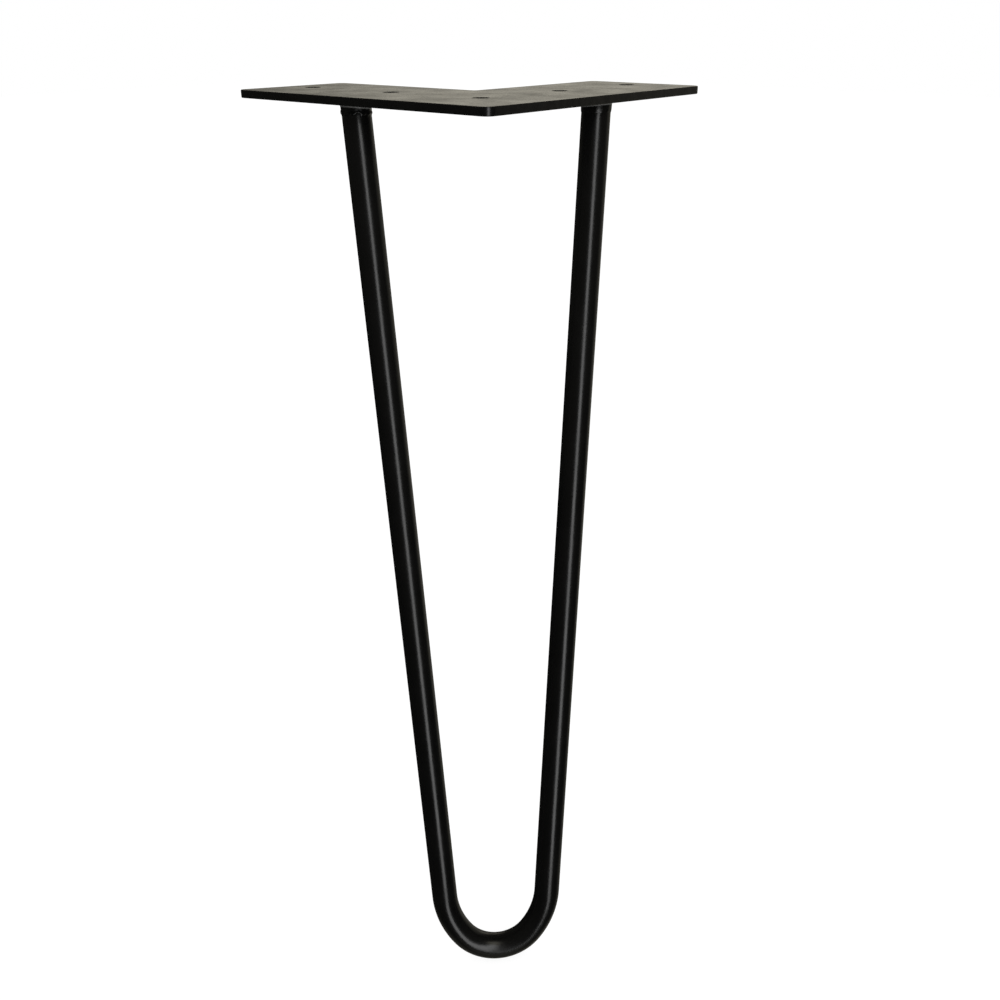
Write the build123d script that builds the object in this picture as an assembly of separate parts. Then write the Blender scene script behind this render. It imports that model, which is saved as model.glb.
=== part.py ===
from build123d import *
import math
import os

# Driving dimensions, in millimetres and degrees. Steel is measured over its powder coat.

# Mounting plate: an L cut from flat sheet, its two arms alike
arm_length = 145.0  # outer corner to the end of each arm
arm_width = 60.0
plate_thickness = 3.3  # 3 mm sheet under its coat
corner_radius = 4.0  # every outside corner of the L
notch_radius = 1.5  # the inside corner of the L
edge_round = 0.4  # softened arris along the outline, top and bottom
screw_hole_diameter = 7.0
end_hole_margin = 15.0  # centre of the last screw hole to the end of its arm

# Hairpin rod: one round bar, bent once at the foot
leg_height = 400.0  # underside of the tabletop to the floor
rod_diameter = 12.3  # 12 mm bar under its coat
rod_reach = 84.5  # rod's centre along its arm, from the plate's outer corner
rod_inset = 14.0  # rod's centre in from the arm's outer edge
foot_overhang = 20.6  # lowest point of the bend, out past the plate's outer corner
apex_radius = 21.5  # centre line of the tight middle of the bend
apex_turn = 102.0  # angle that the tight middle turns through
flank_radius = 40.0  # centre line of the easier curve on either side of it

# Weld beads: a slim hollow-faced fillet round each end of the rod, under the plate
weld_leg_plate = 0.7  # reach of the bead across the plate
weld_leg_rod = 4.0  # reach of the bead down the rod
weld_toe = 0.2  # thickness of the bead at its lower edge
weld_sections = 5  # ellipses that the bead's face passes through

# The origin is the centre of the corner screw hole, on the plate's top face.
# The arms run along +X and +Y, and the screw holes lie on their middle lines.
hole_line = arm_width / 2
outer_edge = -hole_line
inner_edge = outer_edge + arm_width
arm_end = outer_edge + arm_length
last_hole = arm_end - end_hole_margin
screw_holes = [
    (0, 0),
    (last_hole / 2, 0),
    (last_hole, 0),
    (0, last_hole / 2),
    (0, last_hole),
]

# The two rod ends mirror each other across the plate's diagonal.
diagonal_mirror = Vector(1, -1, 0).normalized()
rod_radius = rod_diameter / 2
weld_right = Vector(outer_edge + rod_reach, outer_edge + rod_inset, -plate_thickness)
weld_left = Vector(outer_edge + rod_inset, outer_edge + rod_reach, -plate_thickness)
weld_middle = (weld_left + weld_right) / 2
foot_diagonal = outer_edge - foot_overhang / math.sqrt(2)
foot = Vector(foot_diagonal, foot_diagonal, -leg_height + rod_radius)

# The rod's centre line lies in one leaning plane, with the foot as its origin.
rise = weld_middle - foot
hairpin_plane = Plane(foot, x_dir=diagonal_mirror, z_dir=diagonal_mirror.cross(rise))
weld_in_plane = Vector((weld_right - weld_left).length / 2, rise.length)

# The bend is a tight arc between two easier ones, all tangent. Each straight run is the
# tangent from its weld point to the easier arc on its side.
half_turn = apex_turn / 2
bend_end = Vector(math.sin(math.radians(half_turn)), -math.cos(math.radians(half_turn)))
apex_centre = Vector(0, apex_radius)
flank_centre = apex_centre + bend_end * (apex_radius - flank_radius)
to_weld = weld_in_plane - flank_centre
splay = math.acos(flank_radius / to_weld.length) - math.atan2(to_weld.Y, to_weld.X)
flank_turn = 90 - half_turn - math.degrees(splay)
rod_axis_right = hairpin_plane.x_dir * math.sin(splay) + hairpin_plane.y_dir * math.cos(splay)
rod_axis_left = hairpin_plane.x_dir * -math.sin(splay) + hairpin_plane.y_dir * math.cos(splay)


def make_mounting_plate() -> Part:
    """The L-shaped plate, rounded at its corners and along its outline, with its screw holes."""
    corner = (Align.MIN, Align.MIN)
    notch = (inner_edge, inner_edge)
    with BuildPart() as plate:
        with BuildSketch() as outline:
            with Locations((outer_edge, outer_edge)):
                Rectangle(arm_length, arm_width, align=corner)
                Rectangle(arm_width, arm_length, align=corner)
            fillet(outline.vertices().sort_by_distance(notch)[1:], corner_radius)
            fillet(outline.vertices().sort_by_distance(notch)[0], notch_radius)
        extrude(amount=-plate_thickness)
        fillet(plate.faces().filter_by(Axis.Z).edges(), edge_round)
        with Locations(*screw_holes):
            Hole(screw_hole_diameter / 2)
    return plate.part


def hairpin_line() -> Wire:
    """Centre line of the rod: straight, easy curve, tight bend, easy curve, straight.

    The straights carry on past their weld points by a rod's diameter, which the plate's
    underside then cuts off.
    """
    overrun = Vector(math.sin(splay), math.cos(splay)) * rod_diameter
    with BuildLine() as half:
        CenterArc(apex_centre, apex_radius, -90, half_turn)
        flank = CenterArc(flank_centre, flank_radius, -90 + half_turn, flank_turn)
        Line(flank @ 1, weld_in_plane + overrun)
        mirror(about=Plane.YZ)
    return hairpin_plane * half.wire()


def make_hairpin_rod(line: Wire) -> Part:
    """The round bar along its centre line, both ends cut flush with the plate's underside."""
    with BuildPart() as rod:
        with BuildSketch(Plane(line @ 0, z_dir=line % 0)):
            Circle(rod_radius)
        sweep(path=line)
        split(bisect_by=Plane(weld_middle), keep=Keep.BOTTOM)
    return rod.part


def make_weld_bead(weld: Vector, rod_axis: Vector, rod: Part) -> Part:
    """The bead round one end of the rod.

    A level cut through the leaning rod is an ellipse. The bead passes through such ellipses,
    each widened by a parabola that falls from the plate leg to the toe, less the rod itself.
    """
    across_lean = rod_axis.cross(Vector(0, 0, 1))
    with BuildPart() as bead:
        for step in range(weld_sections):
            share = step / (weld_sections - 1)
            width = weld_toe + (weld_leg_plate - weld_toe) * (1 - share) ** 2
            centre = weld - rod_axis * (weld_leg_rod * share / rod_axis.Z)
            with BuildSketch(Plane(centre, x_dir=across_lean)):
                Ellipse(rod_radius + width, rod_radius / rod_axis.Z + width)
        loft()
        add(rod, mode=Mode.SUBTRACT)
    return bead.part


hairpin_rod = make_hairpin_rod(hairpin_line())
nodes = {
    "mounting_plate": make_mounting_plate(),
    "hairpin_rod": hairpin_rod,
    "weld_bead_left": make_weld_bead(weld_left, rod_axis_left, hairpin_rod),
    "weld_bead_right": make_weld_bead(weld_right, rod_axis_right, hairpin_rod),
}

os.makedirs("parts", exist_ok=True)
for name, solid in nodes.items():
    export_step(solid, f"parts/{name}.step")
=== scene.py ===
import logging
import math
from dataclasses import dataclass, field
from enum import Enum
from typing import Any, Mapping, Sequence

import bpy
import numpy as np
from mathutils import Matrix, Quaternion, Vector


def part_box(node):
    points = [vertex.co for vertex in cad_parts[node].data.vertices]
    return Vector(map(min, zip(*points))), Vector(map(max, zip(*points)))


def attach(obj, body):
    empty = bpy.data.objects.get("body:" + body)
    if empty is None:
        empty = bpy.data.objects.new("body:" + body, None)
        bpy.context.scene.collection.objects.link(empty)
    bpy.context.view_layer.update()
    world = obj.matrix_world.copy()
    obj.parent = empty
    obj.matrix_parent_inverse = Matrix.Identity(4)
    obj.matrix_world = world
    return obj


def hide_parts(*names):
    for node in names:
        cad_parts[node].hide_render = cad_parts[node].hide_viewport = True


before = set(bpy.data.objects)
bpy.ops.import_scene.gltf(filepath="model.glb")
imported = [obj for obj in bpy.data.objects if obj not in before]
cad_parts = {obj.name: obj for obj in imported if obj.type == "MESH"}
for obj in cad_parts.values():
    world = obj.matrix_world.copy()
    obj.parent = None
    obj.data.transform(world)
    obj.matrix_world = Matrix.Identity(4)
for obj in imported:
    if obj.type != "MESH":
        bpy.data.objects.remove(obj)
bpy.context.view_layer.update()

MM = 0.001  # one millimetre in Blender's metres
BODY = "root"
WHITE = "#ffffff"
UP, DOWN = (0.0, 0.0, 1.0), (0.0, 0.0, -1.0)

# Slow waves round a bar, each as its height, how many there are in a turn, and the multiple of
# the bead's own phase that shifts it
Waves = tuple[tuple[float, int, int], ...]

log = logging.getLogger("hairpin_leg")


def linear(hex_colour: str) -> tuple[float, float, float, float]:
    """Turn an sRGB hex colour into the linear colour that a shader takes.

    Args:
        hex_colour: the colour as "#rrggbb".

    Returns:
        Linear red, green, blue, and an alpha of 1.
    """
    coded = np.array([int(hex_colour[i : i + 2], 16) for i in (1, 3, 5)]) / 255
    # The sRGB curve is a short straight line and then a power.
    red, green, blue = np.where(
        coded <= 0.04045, coded / 12.92, ((coded + 0.055) / 1.055) ** 2.4
    )
    return float(red), float(green), float(blue), 1.0


def direction(azimuth: float, elevation: float) -> tuple[float, float, float]:
    """Unit vector that points a given way from the leg.

    Args:
        azimuth: degrees from -Y, turning towards +X.
        elevation: degrees above level.

    Returns:
        The vector, (sin a cos e, -cos a cos e, sin e).
    """
    a, e = math.radians(azimuth), math.radians(elevation)
    return math.sin(a) * math.cos(e), -math.cos(a) * math.cos(e), math.sin(e)


def add_node(
    tree: bpy.types.NodeTree,
    kind: str,
    settings: Mapping[str | int, Any] | None = None,
    links: Mapping[str | int, bpy.types.NodeSocket] | None = None,
) -> bpy.types.Node:
    """Add one node to a tree, set it and wire its inputs.

    A Mix node's two ends are inputs 2 and 3 as numbers and 6 and 7 as colours, with the result
    in output 0 or 2.

    Args:
        tree: the node tree that gets the node.
        kind: the node's type name.
        settings: values by input (name or number) or by the node's own property.
        links: output sockets by the input (name or number) that each one feeds.

    Returns:
        The new node.
    """
    node = tree.nodes.new(kind)
    for key, value in (settings or {}).items():
        if isinstance(key, int) or key in node.inputs:
            node.inputs[key].default_value = value
        else:
            setattr(node, key, value)
    for key, source in (links or {}).items():
        tree.links.new(source, node.inputs[key])
    return node


def fade_in(
    tree: bpy.types.NodeTree,
    ray: bpy.types.NodeSocket,
    towards: tuple[float, float, float],
    low: float,
    high: float,
    full: float = 1.0,
) -> bpy.types.NodeSocket:
    """Add a smooth step of how far a ray turns towards a direction.

    Args:
        tree: the node tree that gets the nodes.
        ray: the ray's direction.
        towards: the unit vector that it is compared with.
        low: cosine between the two where the step begins.
        high: cosine where it ends.
        full: what the step rises to.

    Returns:
        The step, from 0 to its full height.
    """
    cosine = add_node(
        tree, "ShaderNodeVectorMath", {"operation": "DOT_PRODUCT", 1: towards}, {0: ray}
    )
    return add_node(
        tree,
        "ShaderNodeMapRange",
        {"interpolation_type": "SMOOTHSTEP", "From Min": low, "From Max": high, "To Max": full},
        {"Value": cosine.outputs["Value"]},
    ).outputs["Result"]


def ring_quads(rings: int, around: int, joined: bool) -> np.ndarray:
    """Quads between neighbouring rings of points, each ring closed on itself.

    Point j of ring i has number i * around + j. With rings following a path and j turning
    right-handed about it, the faces point outwards.

    Args:
        rings: number of rings.
        around: points in a ring.
        joined: whether the last ring also joins the first.

    Returns:
        Array of quads, four point numbers each.
    """
    i, j = np.meshgrid(
        np.arange(rings if joined else rings - 1), np.arange(around), indexing="ij"
    )
    i_next, j_next = (i + 1) % rings, (j + 1) % around
    quads = (i * around + j, i * around + j_next, i_next * around + j_next, i_next * around + j)
    return np.stack(quads, -1).reshape(-1, 4)


def mesh_piece(
    name: str, points: np.ndarray, quads: np.ndarray, flat_faces: Sequence[Sequence[int]] = ()
) -> bpy.types.Object:
    """Make a mesh object at the origin from arrays of points and faces.

    Args:
        name: the piece's name.
        points: array of points in metres, three numbers each.
        quads: array of quads, shaded smooth.
        flat_faces: further faces of any number of corners, shaded flat.

    Returns:
        The object, linked into the scene.
    """
    mesh = bpy.data.meshes.new(name)
    mesh.from_pydata(points.reshape(-1, 3).tolist(), [], [*quads.tolist(), *flat_faces])
    smooth = np.arange(len(mesh.polygons)) < len(quads)
    mesh.polygons.foreach_set("use_smooth", smooth)
    mesh.update()
    piece = bpy.data.objects.new(name, mesh)
    bpy.context.scene.collection.objects.link(piece)
    return piece


class Side(Enum):
    """The two ends of the hairpin, as the photograph shows them."""

    LEFT = "left"
    RIGHT = "right"

    @property
    def sign(self) -> int:
        """Which way the side lies along the hairpin's width."""
        return 1 if self is Side.RIGHT else -1

    @property
    def inwards(self) -> str:
        """The axis that leads in under the plate from the edge beside this end."""
        return "Y" if self is Side.RIGHT else "X"


@dataclass(frozen=True)
class PowderCoat:
    """Black polyester powder, sprayed dry on steel and baked.

    The powder melts into a satin skin. Its grains never level out fully, which leaves a fine
    pebble and a softer, wider orange peel, and the skin's gloss drifts a little from place to
    place with its thickness. It is nearly black face on and greys towards grazing.
    """

    name: str
    deep: str = "#040404"  # where the skin is thick
    thin: str = "#0b0b0a"  # where it is thinnest
    satin: tuple[float, float] = (0.20, 0.28)  # roughness, from the smoothest to the dullest
    specular_level: float = 0.35
    grain_mm: float = 1.2  # a real grain is about 0.2 mm, and is drawn larger so that it shows
    grain_depth_mm: float = 0.004
    peel_mm: float = 6.0
    peel_depth_mm: float = 0.05
    drift_mm: float = 18.0
    finer_share: float = 0.55  # strength of each finer layer of a noise
    grain_share: float = 0.35  # part of the mottle that is grain, the rest being drift
    mottle_span: tuple[float, float] = (0.3, 0.7)  # values between which the mottle mostly lies

    def material(self) -> bpy.types.Material:
        """Make the coat's material.

        Three noises in Object coordinates, one per pattern: the grain and the peel raise the
        surface, and the grain and the drift together move the colour and the roughness.

        Returns:
            The material.
        """
        material = bpy.data.materials.new(self.name)
        material.use_nodes = True
        tree = material.node_tree
        tree.nodes.clear()
        place = add_node(tree, "ShaderNodeTexCoord").outputs["Object"]
        grain, peel, drift = (
            add_node(
                tree,
                "ShaderNodeTexNoise",
                {"Scale": 1 / (size * MM), "Detail": layers, "Roughness": self.finer_share},
                {"Vector": place},
            ).outputs["Fac"]
            for size, layers in ((self.grain_mm, 1.0), (self.peel_mm, 1.0), (self.drift_mm, 3.0))
        )
        normal: dict[str, bpy.types.NodeSocket] = {}
        for height, depth_mm in ((peel, self.peel_depth_mm), (grain, self.grain_depth_mm)):
            bump = add_node(
                tree,
                "ShaderNodeBump",
                {"Strength": 1.0, "Distance": depth_mm * MM},
                {"Height": height, **normal},
            )
            normal = {"Normal": bump.outputs["Normal"]}
        mottle = add_node(
            tree, "ShaderNodeMix", {0: self.grain_share}, {2: drift, 3: grain}
        ).outputs[0]
        roughness = add_node(
            tree,
            "ShaderNodeMapRange",
            {
                "From Min": self.mottle_span[0],
                "From Max": self.mottle_span[1],
                "To Min": self.satin[0],
                "To Max": self.satin[1],
            },
            {"Value": mottle},
        ).outputs["Result"]
        shader = add_node(
            tree,
            "ShaderNodeBsdfPrincipled",
            {"Specular IOR Level": self.specular_level},
            {"Base Color": self.colour(tree, place, mottle), "Roughness": roughness, **normal},
        )
        add_node(tree, "ShaderNodeOutputMaterial", links={"Surface": shader.outputs["BSDF"]})
        return material

    def colour(
        self,
        tree: bpy.types.NodeTree,
        place: bpy.types.NodeSocket,
        mottle: bpy.types.NodeSocket,
    ) -> bpy.types.NodeSocket:
        """Add the coat's colour.

        Args:
            tree: the material's node tree.
            place: Object coordinates, not used.
            mottle: how thin the skin is, from 0 to 1.

        Returns:
            The colour.
        """
        return add_node(
            tree,
            "ShaderNodeMix",
            {"data_type": "RGBA", 6: linear(self.deep), 7: linear(self.thin)},
            {0: mottle},
        ).outputs[2]


@dataclass(frozen=True)
class SeamCoat(PowderCoat):
    """The same powder over a weld.

    A pale grey band is painted into the colour just under the plate. It is a painted highlight
    standing in for the light line along the plate's lower edge, and it reaches further down the
    further in under the plate it lies.
    """

    painted_highlight: str = "#6c6c6a"  # pale grey of the painted highlight
    seam_top: float = 0.0  # height of the corner, in metres
    edge: float = 0.0  # place of the plate's edge beside the bar, in metres
    inwards: str = "X"  # axis that leads in from that edge
    seam_mm: float = 0.43  # how far down the painted highlight would reach at the edge itself
    seam_slope: float = 0.115  # how much further down for each millimetre inwards
    seam_soft_mm: float = 0.15  # half the height over which the painted highlight fades into the coat

    def colour(
        self,
        tree: bpy.types.NodeTree,
        place: bpy.types.NodeSocket,
        mottle: bpy.types.NodeSocket,
    ) -> bpy.types.NodeSocket:
        """Add the coat's colour, with a painted highlight: pale grey above a plane that slopes
        down inwards.

        Args:
            tree: the material's node tree.
            place: Object coordinates.
            mottle: how thin the skin is, from 0 to 1.

        Returns:
            The colour.
        """
        axes = add_node(tree, "ShaderNodeSeparateXYZ", links={0: place}).outputs
        slanted = add_node(
            tree,
            "ShaderNodeMath",
            {"operation": "MULTIPLY_ADD", 1: self.seam_slope},
            {0: axes[self.inwards], 2: axes["Z"]},
        )
        low = self.seam_top - self.seam_mm * MM + self.seam_slope * self.edge
        soft = self.seam_soft_mm * MM
        # The painted highlight's band: 1 above the sloping plane, 0 below it.
        seam = add_node(
            tree,
            "ShaderNodeMapRange",
            {"From Min": low - soft, "From Max": low + soft},
            {"Value": slanted.outputs[0]},
        ).outputs["Result"]
        return add_node(
            tree,
            "ShaderNodeMix",
            {"data_type": "RGBA", 7: linear(self.painted_highlight)},
            {0: seam, 6: super().colour(tree, place, mottle)},
        ).outputs[2]


@dataclass
class MountingPlate:
    """The L-shaped plate. Its CAD solid has the right shape and keeps it."""

    node: str = "mounting_plate"
    # On the broad flat sheet the peel stands higher and the gloss drifts further.
    coat: PowderCoat = PowderCoat("powder_coated_sheet", satin=(0.20, 0.36), peel_depth_mm=0.15)

    @property
    def underside(self) -> float:
        """Height of the plate's lower face, in metres."""
        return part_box(self.node)[0].z

    @property
    def outer_edge(self) -> float:
        """Place of the plate's outer edges on both level axes, in metres."""
        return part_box(self.node)[0].x

    def dress(self) -> bpy.types.Object:
        """Give the plate its coat.

        Returns:
            The plate's own CAD object.
        """
        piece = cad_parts[self.node]
        piece.data.materials.clear()
        piece.data.materials.append(self.coat.material())
        return piece


@dataclass
class HairpinRod:
    """The round bar, bent once at the foot. Sizes are in millimetres and degrees."""

    plate: MountingPlate
    node: str = "hairpin_rod"
    diameter: float = 12.3
    reach: float = 84.5  # rod's centre along its arm, from the plate's outer corner
    inset: float = 14.0  # rod's centre in from the arm's outer edge
    foot_overhang: float = 20.6  # lowest point of the bend, out past the outer corner
    apex_radius: float = 21.5  # centre line of the tight middle of the bend
    apex_turn: float = 102.0  # angle that the tight middle turns through
    flank_radius: float = 40.0  # centre line of the easier curve on either side of it
    around: int = 96  # points round the bar
    bend_step: float = 2.0  # degrees of bend between rings
    straight_step: float = 6.0  # length of straight bar between rings
    coat: PowderCoat = PowderCoat("powder_coated_bar")

    foot: np.ndarray = field(init=False)  # lowest point of the centre line
    across: np.ndarray = field(init=False)  # level axis of the plane that the line lies in
    along: np.ndarray = field(init=False)  # rising axis of that plane
    out: np.ndarray = field(init=False)  # that plane's normal
    half_width: float = field(init=False)  # half the distance between the rod's ends
    length: float = field(init=False)  # from the foot to the middle between the ends

    def __post_init__(self) -> None:
        """Work out the leaning plane that holds the rod's centre line.

        Its origin is the lowest point of the centre line, its first axis runs level from the
        left end to the right end, and its second axis rises to the middle between the ends.
        """
        edge = self.plate.outer_edge / MM
        near, far = edge + self.inset, edge + self.reach
        top = self.plate.underside / MM
        foot_level = edge - self.foot_overhang / math.sqrt(2)
        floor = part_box(self.node)[0].z / MM
        self.foot = np.array([foot_level, foot_level, floor + self.diameter / 2])
        middle = np.array([(near + far) / 2, (near + far) / 2, top])
        rise = middle - self.foot
        self.length = float(np.linalg.norm(rise))
        self.half_width = (far - near) / math.sqrt(2)
        self.across = np.array([1.0, -1.0, 0.0]) / math.sqrt(2)
        self.along = rise / self.length
        self.out = np.cross(self.across, self.along)

    @property
    def splay(self) -> float:
        """Angle in radians between each straight run and the plane's second axis."""
        x, y = np.array([self.half_width, self.length]) - self.flank_centre
        return math.acos(self.flank_radius / math.hypot(x, y)) - math.atan2(y, x)

    @property
    def flank_centre(self) -> np.ndarray:
        """Centre of the easier arc on the right, in the leaning plane."""
        turn = math.radians(self.apex_turn / 2)
        shift = self.apex_radius - self.flank_radius
        return np.array([shift * math.sin(turn), self.apex_radius - shift * math.cos(turn)])

    def axis(self, side: Side) -> np.ndarray:
        """Direction of one straight run, upwards, as a unit vector."""
        return side.sign * math.sin(self.splay) * self.across + math.cos(self.splay) * self.along

    def end(self, side: Side) -> np.ndarray:
        """Where one straight run's centre line meets the plate's underside, in millimetres."""
        middle = self.foot + self.length * self.along
        return middle + side.sign * self.half_width * self.across

    def centre_line(self) -> tuple[np.ndarray, np.ndarray]:
        """Centre line of the rod in the leaning plane, from the left end to the right end.

        At a turn of a from the lowest point, the tangent is (cos a, sin a) and the point is
        the arc's centre plus its radius times (sin a, -cos a). The apex arc holds turns up to
        half its angle, the flank arc the rest, and a tangent line runs on to the end. The left
        half mirrors the right one.

        Returns:
            Points and unit tangents, two numbers each.
        """
        half_turn, full_turn = math.radians(self.apex_turn / 2), math.pi / 2 - self.splay
        step = math.radians(self.bend_step)
        apex = np.linspace(0, half_turn, 1 + math.ceil(half_turn / step))
        flank = np.linspace(half_turn, full_turn, 1 + math.ceil((full_turn - half_turn) / step))
        turn = np.concatenate([apex, flank[1:]])
        on_apex = (turn <= half_turn)[:, None]
        centre = np.where(on_apex, [0.0, self.apex_radius], self.flank_centre)
        radius = np.where(on_apex, self.apex_radius, self.flank_radius)
        bend = centre + radius * np.stack([np.sin(turn), -np.cos(turn)], -1)
        run = np.array([self.half_width, self.length]) - bend[-1]
        pieces = math.ceil(np.linalg.norm(run) / self.straight_step)
        straight = bend[-1] + run * np.linspace(0, 1, pieces + 1)[1:, None]
        points = np.concatenate([bend, straight])
        turn = np.concatenate([turn, np.full(pieces, full_turn)])
        tangents = np.stack([np.cos(turn), np.sin(turn)], -1)
        points = np.concatenate([points[:0:-1] * [-1, 1], points])
        tangents = np.concatenate([tangents[:0:-1] * [1, -1], tangents])
        return points, tangents

    def build(self) -> bpy.types.Object:
        """Build the rod's skin as a circle carried along the centre line.

        A ring's point is the centre plus the radius times (cos t N + sin t B), where N is the
        centre line's normal in the leaning plane and B the plane's own normal. The end rings
        slide along their runs until they lie in the plate's underside.

        Returns:
            The rod's object.
        """
        flat_points, flat_tangents = self.centre_line()
        plane = np.stack([self.across, self.along])
        centres = self.foot + flat_points @ plane
        tangents = flat_tangents @ plane
        normals = np.stack([-flat_tangents[:, 1], flat_tangents[:, 0]], -1) @ plane
        t = np.linspace(0, 2 * math.pi, self.around, endpoint=False)[None, :, None]
        rings = centres[:, None] + self.diameter / 2 * (
            np.cos(t) * normals[:, None] + np.sin(t) * self.out
        )
        for ring, tangent in ((0, tangents[0]), (-1, tangents[-1])):
            slide = (self.plate.underside / MM - rings[ring, :, 2]) / tangent[2]
            rings[ring] += slide[:, None] * tangent
        first = np.arange(self.around)
        last = first + (len(rings) - 1) * self.around
        quads = ring_quads(len(rings), self.around, joined=False)
        piece = mesh_piece(
            "hairpin_rod_coated", rings * MM, quads, [first[::-1].tolist(), last.tolist()]
        )
        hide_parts(self.node)
        return piece

    def dress(self, piece: bpy.types.Object) -> None:
        """Give the rod its coat and let it ride on the leg."""
        piece.data.materials.append(self.coat.material())
        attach(piece, BODY)


@dataclass
class WeldBead:
    """The bead that joins one end of the rod to the plate.

    Sizes are in millimetres, angles in radians, and a share is of the way down the bead.
    """

    rod: HairpinRod
    side: Side
    leg_rod: float  # reach down the rod
    proud: float  # how far the face stands off the bar half way down
    ridge: float  # height of the roll of metal above the lower lip
    scallop: float  # part by which each lap lengthens the bead
    start: float  # angle where the laps begin round the bar
    lap_height: float  # how far each lap of metal stands up
    laps: int  # laps of metal round the bar
    leg_plate: float = 0.5  # reach across the plate
    draw_in: float = 0.4  # part of proud that the face loses towards the top and the lip
    flare_power: int = 4  # how closely the flare keeps to the plate
    ridge_share: float = 0.85  # where the ridge lies
    ridge_spread: float = 0.12  # share over which the ridge falls off on either side
    lip: float = 0.12  # share over which the lower lip rounds off
    sunk: float = 0.3  # how far the bead's back lies inside the bar
    lap_power: float = 1.5  # how far down the laps stand highest
    lap_skew: float = 0.55  # angle by which a lap's crest is pushed to one side
    lap_bow: float = 5.0  # angle by which a lap bows
    bow_share: float = 0.4  # where the bow turns
    lap_slant: float = 1.2  # angle by which a lap slants from top to lip
    phase: float = 0.9  # shift of the slow waves, opposite on the two sides
    pitch_waves: Waves = ((0.05, 3, 1), (0.03, 7, -2))
    reach_waves: Waves = ((0.3, 4, 1), (0.2, 7, 2))
    ridge_waves: Waves = ((0.2, 5, 1),)
    around: int = 432  # points round the bar
    down: int = 36  # points down the face

    @property
    def node(self) -> str:
        """The CAD node that the bead stands for."""
        return f"weld_bead_{self.side.value}"

    @property
    def coat(self) -> PowderCoat:
        """The coat, with a painted highlight along the corner under the plate."""
        return SeamCoat(
            f"powder_coated_weld_{self.side.value}",
            seam_top=self.rod.plate.underside,
            edge=self.rod.plate.outer_edge,
            inwards=self.side.inwards,
        )

    def slow(self, u: np.ndarray, waves: Waves) -> np.ndarray:
        """Add up slow waves round the bar, each its height times a sine.

        Args:
            u: angles round the bar.
            waves: the waves.

        Returns:
            Their sum at each angle.
        """
        shift = self.phase * self.side.sign
        heights = [height * np.sin(count * u + times * shift) for height, count, times in waves]
        return np.sum(heights, 0)

    def face(self, u: np.ndarray, v: np.ndarray) -> tuple[np.ndarray, np.ndarray]:
        """Work out the bead's face over a grid.

        The face stands off the bar by a barrel, which is widest half way down and draws in with
        (2 v - 1)^2, by a ridge, a narrow bell curve of v low down, and close under the plate by
        a flare that falls off with a power of (1 - v). Each lap of metal raises it by its height
        times sin(pi v^1.5) and a lopsided wave of u, whose phase trails with v so that the laps
        curve like stacked coins. Over the lip, a quarter round brings the face back to the bar.
        Each lap also hangs a little lower than the gap beside it, and slow waves of u change
        the laps' pitch, the bead's length and its ridge.

        Args:
            u: angles round the bar.
            v: shares of the way down, from 0 at the plate to 1 at the end of the lip.

        Returns:
            How far the face stands off the bar, and how far it lies below the plate.
        """
        trail = self.lap_bow * (v - self.bow_share) ** 2 - self.lap_slant * v
        turn = self.laps * (u + self.slow(u, self.pitch_waves)) + trail + self.start
        lap = 0.5 + 0.5 * np.sin(turn + self.lap_skew * np.sin(turn))
        barrel = self.proud * (1 - self.draw_in * (2 * v - 1) ** 2)
        bell = np.exp(-(((v - self.ridge_share) / self.ridge_spread) ** 2))
        ridge = self.ridge * (1 + self.slow(u, self.ridge_waves)) * bell
        flare = (self.leg_plate - (1 - self.draw_in) * self.proud) * (1 - v) ** self.flare_power
        raised = self.lap_height * lap * np.sin(math.pi * v**self.lap_power)
        quarter_round = np.sqrt(1 - (np.maximum(v - 1 + self.lip, 0) / self.lip) ** 2)
        width = (barrel + ridge + flare + raised) * quarter_round
        longer = self.scallop * (self.slow(u, self.reach_waves) + lap - 0.5)
        return width, self.leg_rod * v * (1 + v * longer)

    def build(self) -> bpy.types.Object:
        """Build the bead as a closed profile carried round the bar.

        A level cut through the leaning bar is an ellipse. The bead's face is that ellipse, moved
        down the bar and widened, and the profile's back is the ellipse sunk into the bar.

        Returns:
            The bead's object.
        """
        axis = self.rod.axis(self.side)
        radius = self.rod.diameter / 2
        across_lean = np.cross(axis, UP)
        across_lean /= np.linalg.norm(across_lean)
        down_lean = np.cross(UP, across_lean)
        u = np.linspace(0, 2 * math.pi, self.around, endpoint=False)[:, None]
        v = np.sin(np.linspace(0, math.pi / 2, self.down))[None, :]  # closest together at the lip
        width, depth = self.face(u, v)
        width = np.concatenate([width, np.full((self.around, 2), -self.sunk)], 1)
        depth = np.concatenate([depth, depth[:, [-1]], depth[:, [0]]], 1)
        level = (radius + width) * np.cos(u)
        lean = (radius / axis[2] + width) * np.sin(u)
        points = (
            self.rod.end(self.side)
            - (depth / axis[2])[..., None] * axis
            + level[..., None] * across_lean
            + lean[..., None] * down_lean
        )
        quads = ring_quads(self.around, self.down + 2, joined=True)
        piece = mesh_piece(f"{self.node}_coated", points * MM, quads)
        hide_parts(self.node)
        return piece

    def dress(self, piece: bpy.types.Object) -> None:
        """Give the bead its coat and let it ride on the leg."""
        piece.data.materials.append(self.coat.material())
        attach(piece, BODY)


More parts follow.
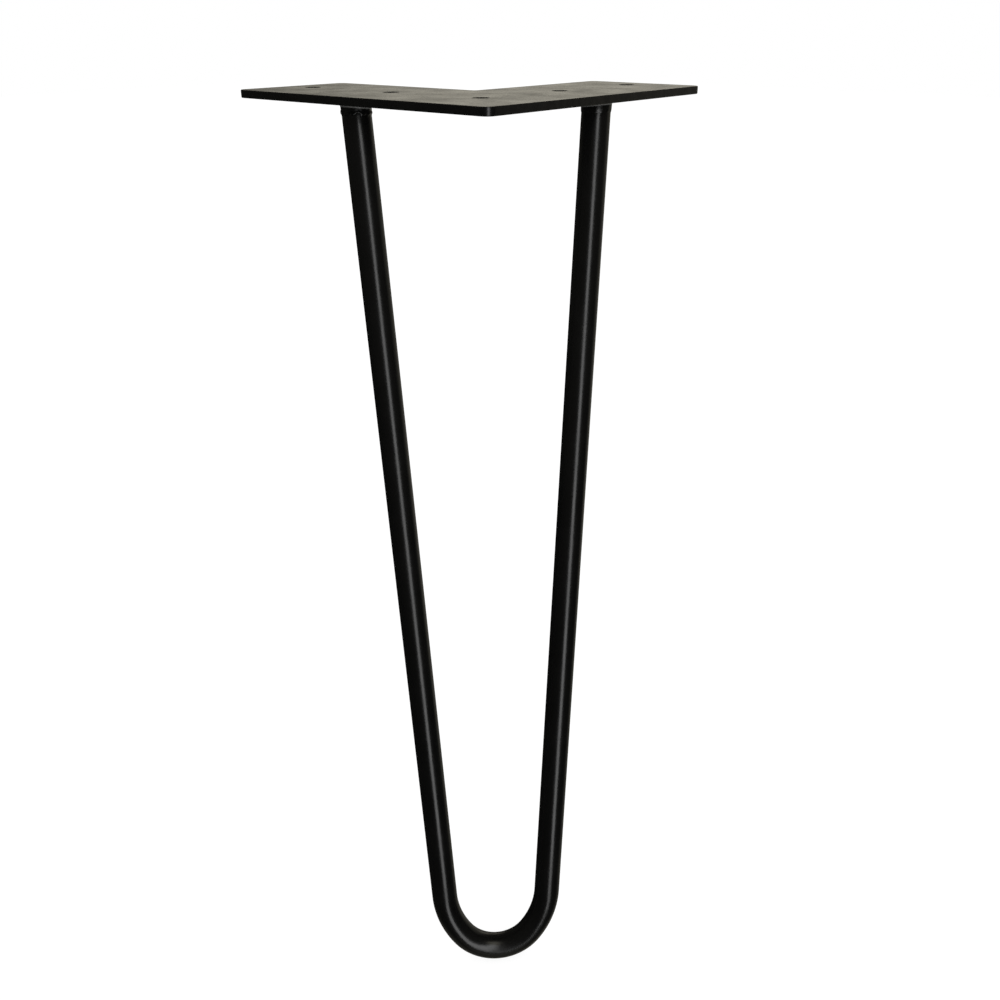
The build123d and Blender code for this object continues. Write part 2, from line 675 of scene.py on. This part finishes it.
@dataclass
class PhotoCamera:
    """The camera at the photograph's angle. Lengths are in millimetres, angles in degrees."""

    aim: tuple[float, float, float] = (-5.86, -14.14, -166.57)
    distance: float = 440.7
    azimuth: float = -49.284
    elevation: float = 26.32
    roll: float = 0.192
    focal_share: float = 0.98142  # focal length over the side of the square picture
    sensor: float = 36.0
    sees_from: float = 10.0
    sees_to: float = 100_000.0

    def build(self) -> bpy.types.Object:
        """Set the camera up and make it the scene's.

        Returns:
            The camera's object.
        """
        back = Vector(direction(self.azimuth, self.elevation))
        data = bpy.data.cameras.new("photo_camera")
        data.sensor_width = self.sensor
        data.lens = self.focal_share * self.sensor
        data.clip_start, data.clip_end = self.sees_from * MM, self.sees_to * MM
        camera = bpy.data.objects.new("photo_camera", data)
        camera.location = (Vector(self.aim) + back * self.distance) * MM
        camera.rotation_mode = "QUATERNION"
        turn = Quaternion(UP, -math.radians(self.roll))
        camera.rotation_quaternion = (-back).to_track_quat("-Z", "Y") @ turn
        bpy.context.scene.collection.objects.link(camera)
        bpy.context.scene.camera = camera
        return camera


@dataclass(frozen=True)
class Softbox:
    """One rectangular studio lamp, white. Lengths are in millimetres."""

    name: str
    azimuth: float  # degrees
    distance: float  # level distance from the corner screw hole
    height: float  # above the plate's top
    aim_height: float  # of the point over the corner screw hole that it faces
    width: float
    tall: float
    watts: float

    def build(self) -> bpy.types.Object:
        """Hang the lamp and point it at the leg.

        Returns:
            The lamp's object.
        """
        data = bpy.data.lights.new(self.name, "AREA")
        data.shape = "RECTANGLE"
        data.size, data.size_y = self.width * MM, self.tall * MM
        data.energy = self.watts
        lamp = bpy.data.objects.new(self.name, data)
        place = Vector(direction(self.azimuth, 0.0)) * self.distance
        place.z = self.height
        lamp.location = place * MM
        lamp.rotation_mode = "QUATERNION"
        to_leg = Vector((0, 0, self.aim_height)) - place
        lamp.rotation_quaternion = to_leg.to_track_quat("-Z", "Y")
        bpy.context.scene.collection.objects.link(lamp)
        return lamp


@dataclass(frozen=True)
class PaleArea:
    """A pale stretch of wall, panel or floor, as the coat's gloss mirrors it.

    Angles are in degrees.
    """

    azimuth: float  # of its middle
    elevation: float  # of its middle
    full: float  # angle from its middle up to which it is at its brightest
    fade: float  # angle from its middle where it ends
    strength: float
    sill: tuple[float, float] | None = None  # elevations between which it comes up
    lintel: tuple[float, float] | None = None  # elevations between which it ends

    def add(self, tree: bpy.types.NodeTree, ray: bpy.types.NodeSocket) -> bpy.types.NodeSocket:
        """Add the area's light to the surroundings' node tree.

        It fades by the cosine of the angle from the area's middle, and by the ray's rise below
        its sill and above its lintel.

        Args:
            tree: the surroundings' node tree.
            ray: the direction that is looked in.

        Returns:
            The area's light.
        """
        middle = direction(self.azimuth, self.elevation)
        low, high = np.cos(np.radians([self.fade, self.full])).tolist()
        light = fade_in(tree, ray, middle, low, high, self.strength)
        bounds = []
        if self.sill:
            low, high = np.sin(np.radians(self.sill)).tolist()
            bounds.append((UP, low, high))
        if self.lintel:
            low, high = np.sin(np.radians(self.lintel)).tolist()
            bounds.append((DOWN, -high, -low))
        for towards, low, high in bounds:
            share = fade_in(tree, ray, towards, low, high)
            light = add_node(
                tree, "ShaderNodeMath", {"operation": "MULTIPLY"}, {0: light, 1: share}
            ).outputs[0]
        return light


@dataclass
class Studio:
    """The pale floor, the white surroundings and the lamp."""

    floor_level: float  # metres
    floor_size: float = 12.0  # metres
    floor_colour: str = "#898989"
    floor_glow: float = 0.87  # light that the camera alone sees, which takes the paper to white
    ambient: float = 0.7  # even light on matt surfaces
    dim: tuple[float, float] = (0.005, 0.06)  # the rest of the room in reflections, low and high
    dim_rise: tuple[float, float] = (-0.3, 0.2)  # sines of elevation between low and high
    room_colour: str = "#fff9e7"
    pale_areas: tuple[PaleArea, ...] = (
        # wall behind the leg
        PaleArea(119.0, 0.0, 14.0, 35.0, 0.8, sill=(-3.0, 5.0), lintel=(12.0, 24.0)),
        # wall to the right of it
        PaleArea(82.0, 0.0, 20.0, 40.0, 0.2, lintel=(20.0, 40.0)),
        # panel overhead
        PaleArea(-20.0, 63.0, 6.0, 19.0, 1.9),
        # floor in front, below, and behind on the right
        PaleArea(-42.0, -42.0, 4.0, 15.0, 0.35),
        PaleArea(0.0, -90.0, 28.0, 42.0, 0.12),
        PaleArea(100.0, -45.0, 22.0, 48.0, 0.18),
    )
    lamp: Softbox = Softbox(
        "tall_softbox",
        azimuth=-30.5,
        distance=1500.0,
        height=180.0,
        aim_height=180.0,
        width=500.0,
        tall=2420.0,
        watts=15.3,
    )

    def build_world(self) -> None:
        """Make the surroundings.

        They are white to the camera. In reflections they are a dim room with the pale areas
        added up, all warm white. To matt surfaces they are a soft even light.
        """
        world = bpy.data.worlds.new("white_surroundings")
        world.use_nodes = True
        tree = world.node_tree
        tree.nodes.clear()
        path = add_node(tree, "ShaderNodeLightPath").outputs
        ray = add_node(tree, "ShaderNodeTexCoord").outputs["Generated"]
        rise = fade_in(tree, ray, UP, *self.dim_rise)
        room = add_node(
            tree, "ShaderNodeMix", {2: self.dim[0], 3: self.dim[1]}, {0: rise}
        ).outputs[0]
        for area in self.pale_areas:
            light = area.add(tree, ray)
            room = add_node(tree, "ShaderNodeMath", links={0: room, 1: light}).outputs[0]
        mirrored = add_node(
            tree,
            "ShaderNodeMath",
            {"operation": "MAXIMUM"},
            {0: path["Is Glossy Ray"], 1: path["Is Transmission Ray"]},
        ).outputs[0]
        unseen = add_node(tree, "ShaderNodeMix", {2: self.ambient}, {0: mirrored, 3: room})
        strength = add_node(
            tree, "ShaderNodeMix", {3: 1.0}, {0: path["Is Camera Ray"], 2: unseen.outputs[0]}
        )
        tint = add_node(
            tree,
            "ShaderNodeMix",
            {"data_type": "RGBA", 6: linear(WHITE), 7: linear(self.room_colour)},
            {0: mirrored},
        )
        background = add_node(
            tree,
            "ShaderNodeBackground",
            links={"Color": tint.outputs[2], "Strength": strength.outputs[0]},
        )
        add_node(tree, "ShaderNodeOutputWorld", links={"Surface": background.outputs[0]})
        bpy.context.scene.world = world

    def floor_material(self) -> bpy.types.Material:
        """Matt pale paper that keeps the leg's shadow and shows white where nothing shades it.

        Returns:
            The material. It is clear from below, so that the leg can be seen from there.
        """
        material = bpy.data.materials.new("matt_white_paper")
        material.use_nodes = True
        tree = material.node_tree
        tree.nodes.clear()
        matt = add_node(tree, "ShaderNodeBsdfDiffuse", {"Color": linear(self.floor_colour)})
        glow = add_node(
            tree,
            "ShaderNodeMath",
            {"operation": "MULTIPLY", 1: self.floor_glow},
            {0: add_node(tree, "ShaderNodeLightPath").outputs["Is Camera Ray"]},
        )
        lift = add_node(tree, "ShaderNodeEmission", links={"Strength": glow.outputs[0]})
        paper = add_node(
            tree, "ShaderNodeAddShader", links={0: matt.outputs[0], 1: lift.outputs[0]}
        )
        below = add_node(tree, "ShaderNodeNewGeometry").outputs["Backfacing"]
        clear = add_node(tree, "ShaderNodeBsdfTransparent")
        surface = add_node(
            tree, "ShaderNodeMixShader", links={0: below, 1: paper.outputs[0], 2: clear.outputs[0]}
        )
        add_node(tree, "ShaderNodeOutputMaterial", links={"Surface": surface.outputs[0]})
        return material

    def build_floor(self) -> bpy.types.Object:
        """Lay the floor under the foot, as one square.

        The coat mirrors the pale areas below the leg in its place, and their light passes it.

        Returns:
            The floor's object.
        """
        half = self.floor_size / 2
        x, y = np.array([-1, 1, 1, -1]) * half, np.array([-1, -1, 1, 1]) * half
        points = np.stack([x, y, np.full(4, self.floor_level)], -1)
        floor = mesh_piece("pale_floor", points, np.array([[0, 1, 2, 3]]))
        floor.data.materials.append(self.floor_material())
        floor.visible_glossy = False
        floor.visible_shadow = False
        return floor

    def build(self) -> None:
        """Make the surroundings, the floor and the lamp."""
        self.build_world()
        self.build_floor()
        self.lamp.build()


def main() -> None:
    """Build the leg's pieces in order, then the camera and the studio."""
    logging.basicConfig(level=logging.INFO, format="%(name)s: %(message)s")
    bpy.context.scene.view_settings.view_transform = "Standard"

    plate = MountingPlate()
    log.info("plate coated: %s", plate.dress().name)

    rod = HairpinRod(plate)
    rod_piece = rod.build()
    rod.dress(rod_piece)
    log.info("%s: %d points", rod_piece.name, len(rod_piece.data.vertices))

    # The left bead is rough, with long laps and a roll above its lip. The right one is smoother
    # and fuller.
    for bead in (
        WeldBead(
            rod,
            Side.LEFT,
            leg_rod=4.3,
            proud=0.1,
            ridge=0.22,
            scallop=0.2,
            start=4.2,
            lap_height=0.16,
            laps=11,
        ),
        WeldBead(
            rod,
            Side.RIGHT,
            leg_rod=4.3,
            proud=0.26,
            ridge=0.0,
            scallop=0.06,
            start=math.pi,
            lap_height=0.06,
            laps=14,
        ),
    ):
        bead_piece = bead.build()
        bead.dress(bead_piece)
        log.info("%s: %d points", bead_piece.name, len(bead_piece.data.vertices))

    camera = PhotoCamera().build()
    log.info("camera: lens %.2f mm", camera.data.lens)
    Studio(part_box(rod.node)[0].z).build()


if __name__ == "__main__":
    main()
